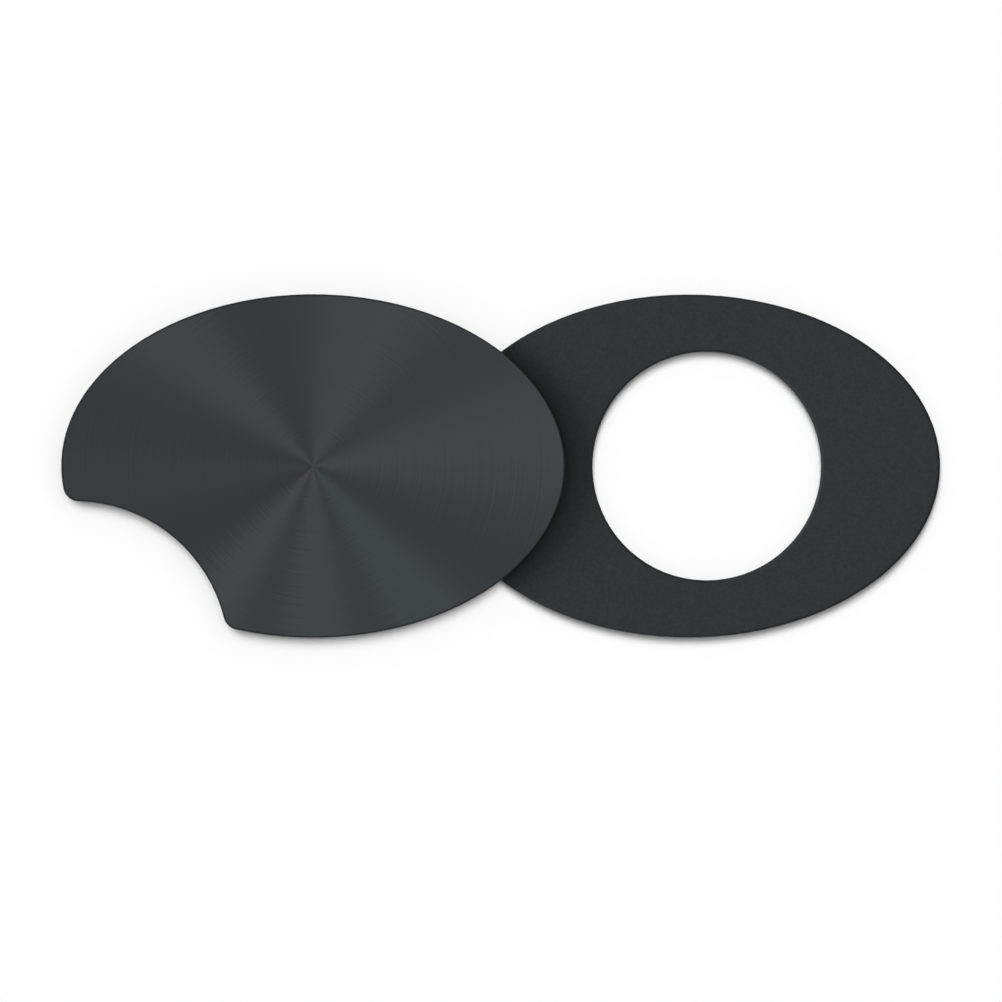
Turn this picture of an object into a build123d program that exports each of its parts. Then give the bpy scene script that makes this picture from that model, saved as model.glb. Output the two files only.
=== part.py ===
from build123d import *
import os

# Oval webcam cover in two layers.
# The lower layer is a stamped steel base plate with a round camera window, on a pad of
# double-sided tape. The upper layer is a bitten oval slider plate bonded to a magnet sheet,
# which holds it down on the steel. The slider is parked to the left, with the window open.
# Frame: origin on the window's axis, in the tape face that sticks to the screen bezel.
# +X runs along the slide and closes the cover, +Z points away from the bezel.

# Driving dimensions, in millimetres
plate_length = 22.0  # long axis of both oval plates
plate_width = 15.0  # short axis of both oval plates
window_diameter = 10.0  # camera window through the base plate
window_shift = 0.8  # window centre, past the oval's centre, away from the parked slider
open_travel = 16.4  # slide from the closed position, plate over plate, to the parked one

tape_thickness = 0.15
base_thickness = 0.4
slide_gap = 0.02  # film of air between the magnet and the base plate
magnet_thickness = 0.3
slider_thickness = 0.2

tape_margin = 0.5  # tape stays this far inside the base plate's outline and window
magnet_margin = 0.3  # magnet stays this far inside the slider plate's outline

bite_radius = 6.7  # finger notch bitten out of the slider's lower left
bite_inset = 0.6  # bite centre, inwards from the slider's left end
bite_drop = 0.75  # bite centre, below the slider's lower side
horn_radius = 0.7  # rounding of the two corners where the bite meets the oval
edge_round = 0.12  # rolled upper edge of the stamped plates

# Heights of the stack, from the bezel upwards
base_bottom = tape_thickness
base_top = base_bottom + base_thickness
magnet_bottom = base_top + slide_gap
slider_bottom = magnet_bottom + magnet_thickness

# Oval centres along the slide
base_centre = -window_shift
parked_centre = base_centre - open_travel


def oval(margin):
    """Outline shared by the plates, taken in by margin."""
    return Ellipse(plate_length / 2 - margin, plate_width / 2 - margin)


def windowed_oval(margin):
    """Oval with the camera window at the origin, keeping margin from both edges."""
    return Pos(X=base_centre) * oval(margin) - Circle(window_diameter / 2 + margin)


def bitten_sheet(margin, thickness):
    """Oval sheet with the finger notch and its rounded horns, taken in by margin."""
    bite_x = bite_inset - plate_length / 2
    bite_y = -plate_width / 2 - bite_drop
    outline = oval(margin) - Pos(bite_x, bite_y) * Circle(bite_radius + margin)
    sheet = extrude(outline, thickness)
    horns = sheet.edges().filter_by(Axis.Z).sort_by(Axis.X)[:2]
    return fillet(horns, horn_radius)


def roll_upper_edges(plate):
    """Rounds every upper edge, as the punch leaves it on stamped sheet."""
    upper_face = plate.faces().sort_by(Axis.Z)[-1]
    return fillet(upper_face.edges(), edge_round)


def adhesive_pad():
    """Die-cut double-sided tape, open around the window."""
    return extrude(windowed_oval(tape_margin), tape_thickness)


def base_plate():
    """Stamped steel oval with the camera window."""
    plate = extrude(windowed_oval(0), base_thickness)
    return Pos(Z=base_bottom) * roll_upper_edges(plate)


def magnet_sheet():
    """Die-cut flexible magnet under the slider plate."""
    sheet = bitten_sheet(magnet_margin, magnet_thickness)
    return Pos(X=parked_centre, Z=magnet_bottom) * sheet


def slider_plate():
    """Stamped face of the slider, with the finger notch."""
    plate = roll_upper_edges(bitten_sheet(0, slider_thickness))
    return Pos(X=parked_centre, Z=slider_bottom) * plate


nodes = {
    "adhesive_pad": adhesive_pad(),
    "base_plate": base_plate(),
    "magnet_sheet": magnet_sheet(),
    "slider_plate": slider_plate(),
}

os.makedirs("parts", exist_ok=True)
for name, solid in nodes.items():
    export_step(solid, f"parts/{name}.step")
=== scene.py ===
import math
from collections import namedtuple

import bpy
from bpy.props import FloatProperty, FloatVectorProperty, PointerProperty
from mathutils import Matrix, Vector


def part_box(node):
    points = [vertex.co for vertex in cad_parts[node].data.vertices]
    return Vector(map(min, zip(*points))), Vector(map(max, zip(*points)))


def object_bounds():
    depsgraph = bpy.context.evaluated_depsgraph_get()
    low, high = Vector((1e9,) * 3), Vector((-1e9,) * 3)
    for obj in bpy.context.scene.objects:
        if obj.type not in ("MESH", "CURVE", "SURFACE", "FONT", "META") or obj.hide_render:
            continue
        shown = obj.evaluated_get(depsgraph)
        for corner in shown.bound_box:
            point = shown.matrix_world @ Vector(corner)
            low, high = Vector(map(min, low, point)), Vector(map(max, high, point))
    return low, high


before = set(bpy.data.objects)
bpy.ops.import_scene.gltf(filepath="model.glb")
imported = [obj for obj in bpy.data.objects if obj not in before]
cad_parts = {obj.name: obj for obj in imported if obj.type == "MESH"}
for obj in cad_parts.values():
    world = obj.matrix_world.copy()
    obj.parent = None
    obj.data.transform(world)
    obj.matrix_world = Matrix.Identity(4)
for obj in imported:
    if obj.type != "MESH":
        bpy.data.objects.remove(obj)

bl_info = {
    "name": "Oval webcam cover",
    "version": (1, 0, 0),
    "blender": (4, 5, 0),
    "location": "3D View > Sidebar > Webcam Cover",
    "description": "Finishes the plates, magnet and tape of a sliding webcam cover, and its stage",
    "category": "Object",
}

MM = 0.001
CAD_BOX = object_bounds()

# A highlight ray painted into the spun face's colour: its bearing from +X and half width in
# degrees, how full its tint is at the middle, where more than 1 widens the full part, and the tint
Ray = namedtuple("Ray", "bearing half_width fullness tint")
PAINTED_HIGHLIGHT_RAYS = (
    Ray(8, 19, 1.05, "#434549"),
    Ray(70, 21, 1.1, "#434547"),
    Ray(138, 13, 1.05, "#424446"),
    Ray(184, 12, 1.0, "#3A3C3E"),
    Ray(234, 10, 1.1, "#444648"),
    Ray(271, 12, 1.2, "#444748"),
    Ray(307, 12, 1.1, "#404546"),
)

# Bearings of the small lights round the object, in degrees from +X
RIM_BEARINGS = (6, 62, 134)

# Levels between which nearly all of a fine noise lies
NOISE_LOW = 0.3
NOISE_HIGH = 0.7


def linear(hex_colour):
    """Linear colour of an sRGB hex value such as #336699."""
    channels = [int(hex_colour[i:i + 2], 16) / 255 for i in (1, 3, 5)]
    return [c / 12.92 if c <= 0.04045 else ((c + 0.055) / 1.055) ** 2.4 for c in channels]


def colour(name, hex_colour, description):
    """Colour property whose default is written as an sRGB hex value."""
    return FloatVectorProperty(
        name=name, description=description, subtype="COLOR", size=3, min=0, max=1,
        default=linear(hex_colour),
    )


def length(name, millimetres, description):
    """Length property whose default is written in millimetres."""
    return FloatProperty(
        name=name, description=description, subtype="DISTANCE", precision=6, min=0,
        default=millimetres * MM,
    )


def angle(name, degrees, description):
    """Angle property whose default is written in degrees."""
    return FloatProperty(
        name=name, description=description, subtype="ANGLE", default=math.radians(degrees)
    )


def factor(name, share, description):
    """Property from 0 to 1."""
    return FloatProperty(
        name=name, description=description, subtype="FACTOR", min=0, max=1, default=share
    )


def strength(name, level, description):
    """Strength of a light."""
    return FloatProperty(name=name, description=description, min=0, default=level)


class SliderSettings(bpy.types.PropertyGroup):
    """Finish of the spun slider plate."""

    dark: colour("Dark", "#37393B", "Dyed oxide between the bright rays")
    # Painted shade: the rolled edge gets a darker colour, as an edge turned from the light looks
    edge: colour("Edge", "#2A2C2D", "Dyed oxide on the rolled edge, which the tool doesn't reach")
    painted_edge_shade_depth: length("Edge fade", 0.02, "Depth below the face at which the rolled edge is plain")
    chatter: angle("Chatter", 5, "How far the rays of single grooves swing about their bearing")
    groove_pitch: length("Groove pitch", 0.11, "Spacing of the grooves, coarser than real to show")
    groove_depth: length("Groove depth", 0.0012, "Depth of the turned grooves")
    groove_tone: factor("Groove tone", 0.08, "How much paler or darker single grooves are")
    roughness: factor("Roughness", 0.38, "Of the anodised face")
    groove_roughness: factor("Groove roughness", 0.05, "How much rougher or smoother single grooves are")
    stretch: factor("Stretch", 0.8, "How far the grooves draw a light out into a ray")


class BaseSettings(bpy.types.PropertyGroup):
    """Finish of the coated base plate."""

    coat: colour("Coat", "#2A2C2D", "Matte black coating")
    # Painted shade: the rolled edge gets a darker colour, as an edge turned from the light looks
    edge: colour("Edge", "#1F2122", "Coating drawn thin over the rolled edge")
    painted_edge_shade_depth: length("Edge fade", 0.02, "Depth below the face at which the coating is thin")
    grain: length("Grain", 0.12, "Size of the coating's fine grain")
    grain_depth: length("Grain depth", 0.004, "Height of the coating's fine grain")
    grain_tone: factor("Grain tone", 0.14, "How much paler or darker the grain is")
    roughness: factor("Roughness", 0.7, "Of the coating")
    gloss: factor("Gloss", 0.2, "Specular level of the coating")


class MagnetSettings(bpy.types.PropertyGroup):
    """Finish of the flexible magnet."""

    rubber: colour("Rubber", "#262322", "Ferrite-filled rubber")
    fleck: colour("Fleck", "#3A3634", "Ferrite grains at a cut edge")
    fleck_start: factor("Fleck start", 0.5, "Noise level at which the flecks begin")
    fleck_full: factor("Fleck full", 0.75, "Noise level at which the flecks are full")
    grain: length("Grain", 0.06, "Size of the ferrite flecks, coarser than real to show")
    grain_depth: length("Grain depth", 0.006, "Height of the ferrite flecks")
    relief: factor("Relief", 0.6, "How much of the flecks' height shows")
    roughness: factor("Roughness", 0.8, "Of the rubber")


class TapeSettings(bpy.types.PropertyGroup):
    """Finish of the double-sided tape."""

    acrylic: colour("Acrylic", "#C9C7C0", "Milky acrylic tape")
    cell: length("Cell", 0.09, "Size of the bubbles at a cut edge")
    cell_depth: length("Cell depth", 0.009, "Depth of the bubbles")
    relief: factor("Relief", 0.5, "How much of the bubbles' depth shows")
    # These two paint shade into the bubbles' hollows and a highlight on the walls between them
    cell_shade: factor("Cell shade", 0.1, "How much darker the middle of a bubble is")
    wall_light: factor("Wall light", 0.04, "How much paler the wall between bubbles is")
    roughness: factor("Roughness", 0.45, "Of the acrylic")


class StageSettings(bpy.types.PropertyGroup):
    """Floor, light and camera."""

    floor: colour("Floor", "#FCFCFC", "Matte white floor")
    floor_size: length("Floor size", 6000, "Side of the floor")
    frame_width: length("Frame width", 43.73, "Width of the picture at the object")
    frame_drop: length("Frame drop", 1.53, "How far the picture's middle lies below the object's")
    lens: FloatProperty(
        name="Lens", description="Focal length", subtype="DISTANCE_CAMERA", min=1, default=300
    )
    dome: strength("Dome", 0.20, "Light from all round")
    key: strength("Key", 7.0, "Object's main light, low at the side")
    key_bearing: angle("Key bearing", 178, "Bearing of the object's lights, anticlockwise from +X")
    key_height: angle("Key height", 14, "Main light's height over the floor")
    key_width: angle("Key width", 28, "How wide the main light looks from the object")
    fill: strength("Fill", 0.95, "Object's second light, higher on the same side")
    fill_height: angle("Fill height", 42, "Second light's height over the floor")
    fill_width: angle("Fill width", 40, "How wide the second light looks from the object")
    floor_key: strength("Floor key", 1.88, "Floor's main light")
    floor_key_bearing: angle("Floor key bearing", 96, "Bearing of the floor's lights, from +X")
    floor_key_height: angle("Floor key height", 58, "Floor light's height over the floor")
    floor_key_width: angle("Floor key width", 30, "How wide the floor light looks from the floor")
    wash: strength("Wash", 0.825, "Floor's second light, from nearly straight above")
    wash_height: angle("Wash height", 80, "Height of the light from above over the floor")
    wash_width: angle("Wash width", 31, "How wide the light from above looks from the floor")
    rim: strength("Rim", 0.08, "Each small light round the object")
    rim_height: angle("Rim height", 55, "Small lights' height over the floor")
    rim_width: angle("Rim width", 10, "How wide each small light looks from the object")


class CoverSettings(bpy.types.PropertyGroup):
    """Settings of every piece and of the stage."""

    slider: PointerProperty(type=SliderSettings, name="Slider", description="Finish of the slider")
    base: PointerProperty(type=BaseSettings, name="Base", description="Finish of the base")
    magnet: PointerProperty(type=MagnetSettings, name="Magnet", description="Finish of the magnet")
    tape: PointerProperty(type=TapeSettings, name="Tape", description="Finish of the tape")
    stage: PointerProperty(type=StageSettings, name="Stage", description="Floor, light and camera")


def settings():
    """The scene's cover settings."""
    return bpy.context.scene.webcam_cover


def add(tree, kind, options=None, **inputs):
    """Adds a node, sets its options, and sets or links its inputs.

    An input goes by its name in lower case, with _ for spaces, or by its number, as in _0.
    """
    node = tree.nodes.new(kind)
    for name, value in (options or {}).items():
        setattr(node, name, value)
    for name, value in inputs.items():
        if name.startswith("_"):
            socket = node.inputs[int(name[1:])]
        else:
            socket = node.inputs[name.replace("_", " ").title().replace("Ior", "IOR")]
        if isinstance(value, bpy.types.NodeSocket):
            tree.links.new(value, socket)
        else:
            socket.default_value = value
    return node


def new_material(name):
    """A new material, and its node tree, which is empty."""
    material = bpy.data.materials.new(name)
    material.use_nodes = True
    material.node_tree.nodes.clear()
    return material, material.node_tree


def dress(node_name, material):
    """Gives a CAD node its finished material."""
    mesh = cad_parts[node_name].data
    mesh.materials.clear()
    mesh.materials.append(material)


def painted_edge_shade_mask(tree, place, top, fade):
    """Mask for painted edge shade: 0 on a plate's flat upper face and 1 from a small depth below it."""
    height = add(tree, "ShaderNodeSeparateXYZ", vector=place).outputs["Z"]
    return add(
        tree, "ShaderNodeMapRange", {"interpolation_type": "SMOOTHSTEP"}, value=height,
        from_min=top - fade, from_max=top, to_min=1, to_max=0,
    ).outputs[0]


def paint_highlight_rays(tree, outward, dark):
    """Colour of the spun face, with highlight rays painted in.

    It turns from the dark oxide to each painted ray's tint at its bearing.
    """
    painted_ray_colour = (*dark, 1)
    for ray in PAINTED_HIGHLIGHT_RAYS:
        turn = math.radians(ray.bearing)
        along = (math.cos(turn), math.sin(turn), 0)
        # The power that takes a ray down to half at its half width
        sharpness = math.log(0.5) / math.log(math.cos(math.radians(ray.half_width)))
        facing = add(
            tree, "ShaderNodeVectorMath", {"operation": "DOT_PRODUCT"}, _0=outward, _1=along
        ).outputs["Value"]
        ahead = add(tree, "ShaderNodeMath", {"operation": "MAXIMUM"}, _0=facing, _1=0).outputs[0]
        peak = add(tree, "ShaderNodeMath", {"operation": "POWER"}, _0=ahead, _1=sharpness).outputs[0]
        share = add(
            tree, "ShaderNodeMath", {"operation": "MULTIPLY", "use_clamp": True},
            _0=peak, _1=ray.fullness,
        ).outputs[0]
        painted_ray_colour = add(
            tree, "ShaderNodeMix", {"data_type": "RGBA"},
            _0=share, _6=painted_ray_colour, _7=(*linear(ray.tint), 1),
        ).outputs[2]
    return painted_ray_colour


def spun_anodised_aluminium(look):
    """Spun, anodised aluminium.

    A tool turned round the middle leaves fine ring grooves, so each light is drawn out into a ray
    through the middle. Highlight rays are also painted into the colour at fixed bearings, and
    painted shade onto the rolled edge. The oxide is a dark neutral grey with a soft metal lustre.
    """
    material, tree = new_material("spun_anodised_aluminium")
    low, high = (Vector(corner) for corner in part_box("slider_plate"))
    middle = (low + high) / 2
    place = add(tree, "ShaderNodeTexCoord").outputs["Object"]
    centred = add(
        tree, "ShaderNodeVectorMath", {"operation": "SUBTRACT"}, _0=place, _1=middle
    ).outputs[0]
    flat = add(
        tree, "ShaderNodeVectorMath", {"operation": "MULTIPLY"}, _0=centred, _1=(1, 1, 0)
    ).outputs[0]
    outward = add(tree, "ShaderNodeVectorMath", {"operation": "NORMALIZE"}, _0=flat).outputs[0]
    radius = add(tree, "ShaderNodeVectorMath", {"operation": "LENGTH"}, _0=flat).outputs["Value"]

    turns = add(
        tree, "ShaderNodeMath", {"operation": "DIVIDE"}, _0=radius, _1=look.groove_pitch
    ).outputs[0]
    grooves = add(
        tree, "ShaderNodeTexNoise", {"noise_dimensions": "1D"}, w=turns, scale=1, detail=2
    ).outputs["Fac"]
    # From groove to groove, the painted highlight rays swing a little about their bearing
    swing = add(
        tree, "ShaderNodeMapRange", value=grooves, to_min=-look.chatter, to_max=look.chatter
    ).outputs[0]
    swung = add(
        tree, "ShaderNodeVectorRotate", {"rotation_type": "Z_AXIS"}, vector=outward, angle=swing
    ).outputs[0]
    # Highlight rays painted into the colour, besides the real ones that the stretched reflection draws
    painted_ray_colour = paint_highlight_rays(tree, swung, look.dark)
    tone = add(
        tree, "ShaderNodeMapRange", value=grooves,
        to_min=1 - look.groove_tone, to_max=1 + look.groove_tone,
    ).outputs[0]
    turned = add(tree, "ShaderNodeVectorMath", {"operation": "SCALE"}, _0=painted_ray_colour, scale=tone).outputs[0]
    # Painted shade: the rolled edge below the flat face takes the darker edge colour
    rolled = painted_edge_shade_mask(tree, place, high.z, look.painted_edge_shade_depth)
    oxide_with_painted_edge_shade = add(
        tree, "ShaderNodeMix", {"data_type": "RGBA"}, _0=rolled, _6=turned, _7=(*look.edge, 1)
    ).outputs[2]
    rough = add(
        tree, "ShaderNodeMapRange", value=grooves,
        to_min=look.roughness - look.groove_roughness, to_max=look.roughness + look.groove_roughness,
    ).outputs[0]
    bump = add(
        tree, "ShaderNodeBump", strength=1, distance=look.groove_depth, height=grooves
    ).outputs[0]
    shader = add(
        tree, "ShaderNodeBsdfPrincipled", base_color=oxide_with_painted_edge_shade, metallic=1, roughness=rough,
        anisotropic=look.stretch, tangent=outward, normal=bump,
    )
    add(tree, "ShaderNodeOutputMaterial", surface=shader.outputs[0])
    return material


def powder_coated_steel(look):
    """Steel sheet under a matte black powder coat.

    The baked powder leaves a fine, even grain that scatters the light, so it looks soft and flat.
    Its rolled edge is coloured darker, as painted shade.
    """
    material, tree = new_material("powder_coated_steel")
    place = add(tree, "ShaderNodeTexCoord").outputs["Object"]
    grain = add(
        tree, "ShaderNodeTexNoise", vector=place, scale=1 / look.grain, detail=3
    ).outputs["Fac"]
    tone = add(
        tree, "ShaderNodeMapRange", value=grain, from_min=NOISE_LOW, from_max=NOISE_HIGH,
        to_min=1 - look.grain_tone, to_max=1 + look.grain_tone,
    ).outputs[0]
    # Painted shade: the rolled edge below the flat face takes the darker edge colour
    rolled = painted_edge_shade_mask(tree, place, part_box("base_plate")[1][2], look.painted_edge_shade_depth)
    coat_with_painted_edge_shade = add(
        tree, "ShaderNodeMix", {"data_type": "RGBA"},
        _0=rolled, _6=(*look.coat, 1), _7=(*look.edge, 1),
    ).outputs[2]
    coat = add(tree, "ShaderNodeVectorMath", {"operation": "SCALE"}, _0=coat_with_painted_edge_shade, scale=tone).outputs[0]
    bump = add(tree, "ShaderNodeBump", strength=1, distance=look.grain_depth, height=grain).outputs[0]
    shader = add(
        tree, "ShaderNodeBsdfPrincipled", base_color=coat, roughness=look.roughness,
        specular_ior_level=look.gloss, normal=bump,
    )
    add(tree, "ShaderNodeOutputMaterial", surface=shader.outputs[0])
    return material


def ferrite_rubber(look):
    """Calendered rubber filled with ferrite powder.

    It is a dull brown black, with paler flecks of ferrite where the die cut it.
    """
    material, tree = new_material("ferrite_rubber")
    place = add(tree, "ShaderNodeTexCoord").outputs["Object"]
    flecks = add(
        tree, "ShaderNodeTexNoise", vector=place, scale=1 / look.grain, detail=4
    ).outputs["Fac"]
    spread = add(
        tree, "ShaderNodeMapRange", value=flecks,
        from_min=look.fleck_start, from_max=look.fleck_full,
    ).outputs[0]
    mix = add(
        tree, "ShaderNodeMix", {"data_type": "RGBA"},
        _0=spread, _6=(*look.rubber, 1), _7=(*look.fleck, 1),
    ).outputs[2]
    bump = add(
        tree, "ShaderNodeBump", strength=look.relief, distance=look.grain_depth, height=flecks
    ).outputs[0]
    shader = add(
        tree, "ShaderNodeBsdfPrincipled", base_color=mix, roughness=look.roughness, normal=bump
    )
    add(tree, "ShaderNodeOutputMaterial", surface=shader.outputs[0])
    return material


def acrylic_tape(look):
    """Die-cut acrylic foam tape.

    It is milky, with closed bubbles that show as a fine grain at the cut.
    """
    material, tree = new_material("acrylic_tape")
    place = add(tree, "ShaderNodeTexCoord").outputs["Object"]
    cells = add(
        tree, "ShaderNodeTexVoronoi", vector=place, scale=1 / look.cell
    ).outputs["Distance"]
    # Painted shade and highlight: each bubble is darker in its hollow middle and paler at its wall
    tone = add(
        tree, "ShaderNodeMapRange", value=cells,
        to_min=1 - look.cell_shade, to_max=1 + look.wall_light,
    ).outputs[0]
    milk_with_painted_bubble_shade = add(
        tree, "ShaderNodeVectorMath", {"operation": "SCALE"}, _0=tuple(look.acrylic), scale=tone
    ).outputs[0]
    bump = add(
        tree, "ShaderNodeBump", strength=look.relief, distance=look.cell_depth, height=cells
    ).outputs[0]
    shader = add(
        tree, "ShaderNodeBsdfPrincipled", base_color=milk_with_painted_bubble_shade, roughness=look.roughness, normal=bump
    )
    add(tree, "ShaderNodeOutputMaterial", surface=shader.outputs[0])
    return material


def matte_white_board(look):
    """Matte white board, which keeps the shadow."""
    material, tree = new_material("matte_white_board")
    shader = add(tree, "ShaderNodeBsdfDiffuse", color=(*look.floor, 1))
    add(tree, "ShaderNodeOutputMaterial", surface=shader.outputs[0])
    return material


def white_surround(look):
    """World that lights softly from all round, and is plain white where it is seen or mirrored."""
    world = bpy.data.worlds.new("white_surround")
    world.use_nodes = True
    tree = world.node_tree
    tree.nodes.clear()
    rays = add(tree, "ShaderNodeLightPath").outputs
    shown = rays["Is Camera Ray"]
    for kind in ("Is Glossy Ray", "Is Transmission Ray"):
        shown = add(
            tree, "ShaderNodeMath", {"operation": "MAXIMUM"}, _0=shown, _1=rays[kind]
        ).outputs[0]
    level = add(tree, "ShaderNodeMapRange", value=shown, to_min=look.dome, to_max=1).outputs[0]
    background = add(tree, "ShaderNodeBackground", color=(1, 1, 1, 1), strength=level)
    add(tree, "ShaderNodeOutputWorld", surface=background.outputs[0])
    return world


def add_sun(name, energy, bearing, height, width):
    """Soft distant light from a bearing, anticlockwise from +X, and a height over the floor."""
    lamp = bpy.data.lights.new(name, "SUN")
    lamp.energy = energy
    lamp.angle = width
    sun = bpy.data.objects.new(name, lamp)
    sun.rotation_euler = (0, math.pi / 2 - height, bearing)
    bpy.context.scene.collection.objects.link(sun)
    return sun


def flag(lamp, item, state):
    """Collection that keeps a lamp off an object, or to it alone, as a flag on a studio stand does."""
    group = bpy.data.collections.new(f"{lamp.name}_{item.name}")
    group.objects.link(item)
    group.collection_objects[0].light_linking.link_state = state
    return group


def set_lights(look, floor):
    """Lights for the object and for the floor, kept apart by flags, and small ones for both."""
    key = add_sun("key", look.key, look.key_bearing, look.key_height, look.key_width)
    fill = add_sun("fill", look.fill, look.key_bearing, look.fill_height, look.fill_width)
    for lamp in (key, fill):
        lamp.visible_glossy = False
        lamp.light_linking.receiver_collection = flag(lamp, floor, "EXCLUDE")
    floor_key = add_sun(
        "floor_key", look.floor_key, look.floor_key_bearing, look.floor_key_height,
        look.floor_key_width,
    )
    wash = add_sun("wash", look.wash, look.floor_key_bearing, look.wash_height, look.wash_width)
    for lamp in (floor_key, wash):
        lamp.light_linking.receiver_collection = flag(lamp, floor, "INCLUDE")
    # The magnet casts the slider's shadow, so it is as long as the base's
    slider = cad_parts["slider_plate"]
    floor_key.light_linking.blocker_collection = flag(floor_key, slider, "EXCLUDE")
    for number, bearing in enumerate(RIM_BEARINGS):
        add_sun(f"rim_{number}", look.rim, math.radians(bearing), look.rim_height, look.rim_width)


def set_camera(look):
    """Looks straight down on the object through a long lens."""
    low, high = (Vector(corner) for corner in CAD_BOX)
    middle = (low + high) / 2
    lens = bpy.data.cameras.new("camera")
    lens.lens = look.lens
    distance = look.frame_width * lens.lens / lens.sensor_width
    camera = bpy.data.objects.new("camera", lens)
    camera.location = (middle.x, middle.y - look.frame_drop, high.z + distance)
    bpy.context.scene.collection.objects.link(camera)
    bpy.context.scene.camera = camera


class WEBCAM_COVER_OT_slider_plate(bpy.types.Operator):
    """Finish the spun slider plate"""

    bl_idname = "webcam_cover.slider_plate"
    bl_label = "Slider Plate"
    settings_name = "slider"

    def execute(self, context):
        dress("slider_plate", spun_anodised_aluminium(settings().slider))
        return {"FINISHED"}


class WEBCAM_COVER_OT_base_plate(bpy.types.Operator):
    """Finish the coated base plate"""

    bl_idname = "webcam_cover.base_plate"
    bl_label = "Base Plate"
    settings_name = "base"

    def execute(self, context):
        dress("base_plate", powder_coated_steel(settings().base))
        return {"FINISHED"}


class WEBCAM_COVER_OT_magnet_sheet(bpy.types.Operator):
    """Finish the flexible magnet under the slider"""

    bl_idname = "webcam_cover.magnet_sheet"
    bl_label = "Magnet Sheet"
    settings_name = "magnet"

    def execute(self, context):
        dress("magnet_sheet", ferrite_rubber(settings().magnet))
        return {"FINISHED"}


class WEBCAM_COVER_OT_adhesive_pad(bpy.types.Operator):
    """Finish the double-sided tape under the base"""

    bl_idname = "webcam_cover.adhesive_pad"
    bl_label = "Adhesive Pad"
    settings_name = "tape"

    def execute(self, context):
        dress("adhesive_pad", acrylic_tape(settings().tape))
        return {"FINISHED"}


class WEBCAM_COVER_OT_stage(bpy.types.Operator):
    """Lay the floor and set the lights and the camera"""

    bl_idname = "webcam_cover.stage"
    bl_label = "Stage"
    settings_name = "stage"

    def execute(self, context):
        look = settings().stage
        bpy.ops.mesh.primitive_plane_add(size=look.floor_size)
        floor = context.object
        floor.name = "floor"
        floor.data.materials.append(matte_white_board(look))
        context.scene.world = white_surround(look)
        set_lights(look, floor)
        set_camera(look)
        context.scene.view_settings.view_transform = "Standard"
        return {"FINISHED"}


OPERATORS = (
    WEBCAM_COVER_OT_slider_plate,
    WEBCAM_COVER_OT_base_plate,
    WEBCAM_COVER_OT_magnet_sheet,
    WEBCAM_COVER_OT_adhesive_pad,
    WEBCAM_COVER_OT_stage,
)


class VIEW3D_PT_webcam_cover(bpy.types.Panel):
    """Sidebar list of the cover's operators, each with its settings"""

    bl_label = "Webcam Cover"
    bl_space_type = "VIEW_3D"
    bl_region_type = "UI"
    bl_category = "Webcam Cover"

    def draw(self, context):
        for operator in OPERATORS:
            box = self.layout.box()
            box.operator(operator.bl_idname)
            look = getattr(settings(), operator.settings_name)
            for name in type(look).__annotations__:
                box.prop(look, name)


CLASSES = (
    SliderSettings,
    BaseSettings,
    MagnetSettings,
    TapeSettings,
    StageSettings,
    CoverSettings,
    *OPERATORS,
    VIEW3D_PT_webcam_cover,
)


def register():
    """Registers the classes and gives the scene its cover settings."""
    for cls in CLASSES:
        bpy.utils.register_class(cls)
    bpy.types.Scene.webcam_cover = PointerProperty(
        type=CoverSettings, name="Webcam cover", description="Settings of the cover and its stage"
    )


def unregister():
    """Takes the cover settings and the classes away."""
    del bpy.types.Scene.webcam_cover
    for cls in reversed(CLASSES):
        bpy.utils.unregister_class(cls)


def main():
    """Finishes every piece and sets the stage."""
    register()
    bpy.ops.webcam_cover.slider_plate()
    bpy.ops.webcam_cover.base_plate()
    bpy.ops.webcam_cover.magnet_sheet()
    bpy.ops.webcam_cover.adhesive_pad()
    bpy.ops.webcam_cover.stage()


if __name__ == "__main__":
    main()
